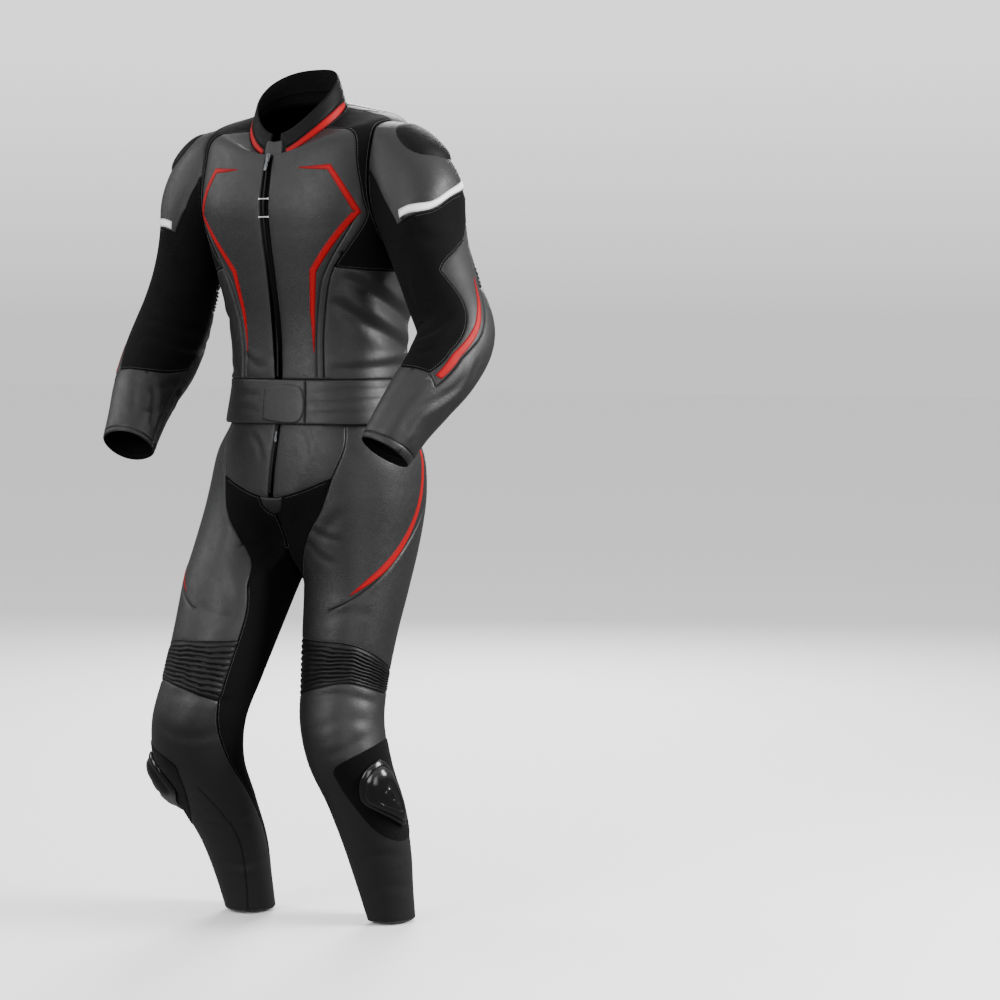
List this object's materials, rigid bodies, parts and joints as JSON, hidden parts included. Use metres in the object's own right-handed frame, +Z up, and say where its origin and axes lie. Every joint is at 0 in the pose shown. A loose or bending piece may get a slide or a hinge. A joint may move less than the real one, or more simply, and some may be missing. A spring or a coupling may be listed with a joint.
{
  "type": "motorcycle race suit",
  "caption": "Hollow two-piece leather race suit with stretch panels, ribbed joints, inlay stripes, knee sliders and zips.",
  "frame": {"origin": "mount where the wearer holds the suit, at the neck on the centre line, 17 mm below the collar's seam at the back", "axes": "+Z up the standing wearer, -Y the way the wearer faces, +X to the wearer's left"},
  "size_m": [0.7176, 0.433, 1.4702],
  "materials": {
    "grained_leather": "satin, finely grained",
    "padded_leather": "satin, padded from behind",
    "ribbed_leather": "satin, gathered in ribs",
    "stretch_cloth": "matt woven stretch",
    "zip_tape": "matt woven tape",
    "red_leather": "satin",
    "white_leather": "satin, reflective",
    "hook_and_loop": "matt loop pile",
    "slider_plastic": "polished",
    "zip_metal": "plated"
  },
  "bodies": {
    "suit": {"front_left": "grained_leather", "front_right": "grained_leather", "side_left": "grained_leather", "side_right": "grained_leather", "back_side_left": "grained_leather", "back_side_right": "grained_leather", "back_centre": "grained_leather", "back_upper": "grained_leather", "hem_band": "grained_leather", "belt_tab": "grained_leather", "collar_tab": "grained_leather", "collar": "grained_leather", "upper_sleeve_left": "grained_leather", "upper_sleeve_right": "grained_leather", "outer_sleeve_left": "grained_leather", "outer_sleeve_right": "grained_leather", "forearm_left": "grained_leather", "forearm_right": "grained_leather", "hip_front_left": "grained_leather", "hip_front_right": "grained_leather", "gusset": "grained_leather", "thigh_left": "grained_leather", "thigh_right": "grained_leather", "seat_left": "grained_leather", "seat_right": "grained_leather", "shin_left": "grained_leather", "shin_right": "grained_leather", "lumbar_pad": "padded_leather", "shoulder_pad_left": "padded_leather", "shoulder_pad_right": "padded_leather", "back_yoke": "ribbed_leather", "elbow_accordion_left": "ribbed_leather", "elbow_accordion_right": "ribbed_leather", "knee_accordion_left": "ribbed_leather", "knee_accordion_right": "ribbed_leather", "yoke_left": "stretch_cloth", "yoke_right": "stretch_cloth", "arm_stretch_left": "stretch_cloth", "arm_stretch_right": "stretch_cloth", "leg_stretch_left": "stretch_cloth", "leg_stretch_right": "stretch_cloth", "front_zip": "zip_tape", "fly_zip": "zip_tape", "chest_stripe_left": "red_leather", "chest_stripe_right": "red_leather", "back_stripe_left": "red_leather", "back_stripe_right": "red_leather", "forearm_stripe_left": "red_leather", "forearm_stripe_right": "red_leather", "thigh_stripe_left": "red_leather", "thigh_stripe_right": "red_leather", "arm_stripe_left": "white_leather", "arm_stripe_right": "white_leather", "knee_patch_left": "hook_and_loop", "knee_patch_right": "hook_and_loop", "knee_slider_left": "slider_plastic", "knee_slider_right": "slider_plastic", "zip_slider": "zip_metal"},
    "zip_pull": {"zip_pull": "zip_metal"},
    "fly_pull": {"fly_pull": "zip_metal"}
  },
  "joints": [
    {"name": "zip_pull_swing", "type": "hinge", "parent": "suit", "child": "zip_pull", "pos_m": [0, -0.15924, -0.08127], "axis": [-1, 0, 0], "range_deg": [0, 100]},
    {"name": "fly_pull_swing", "type": "hinge", "parent": "suit", "child": "fly_pull", "pos_m": [0, -0.13581, -0.53766], "axis": [-1, 0, 0], "range_deg": [0, 100]}
  ]
}
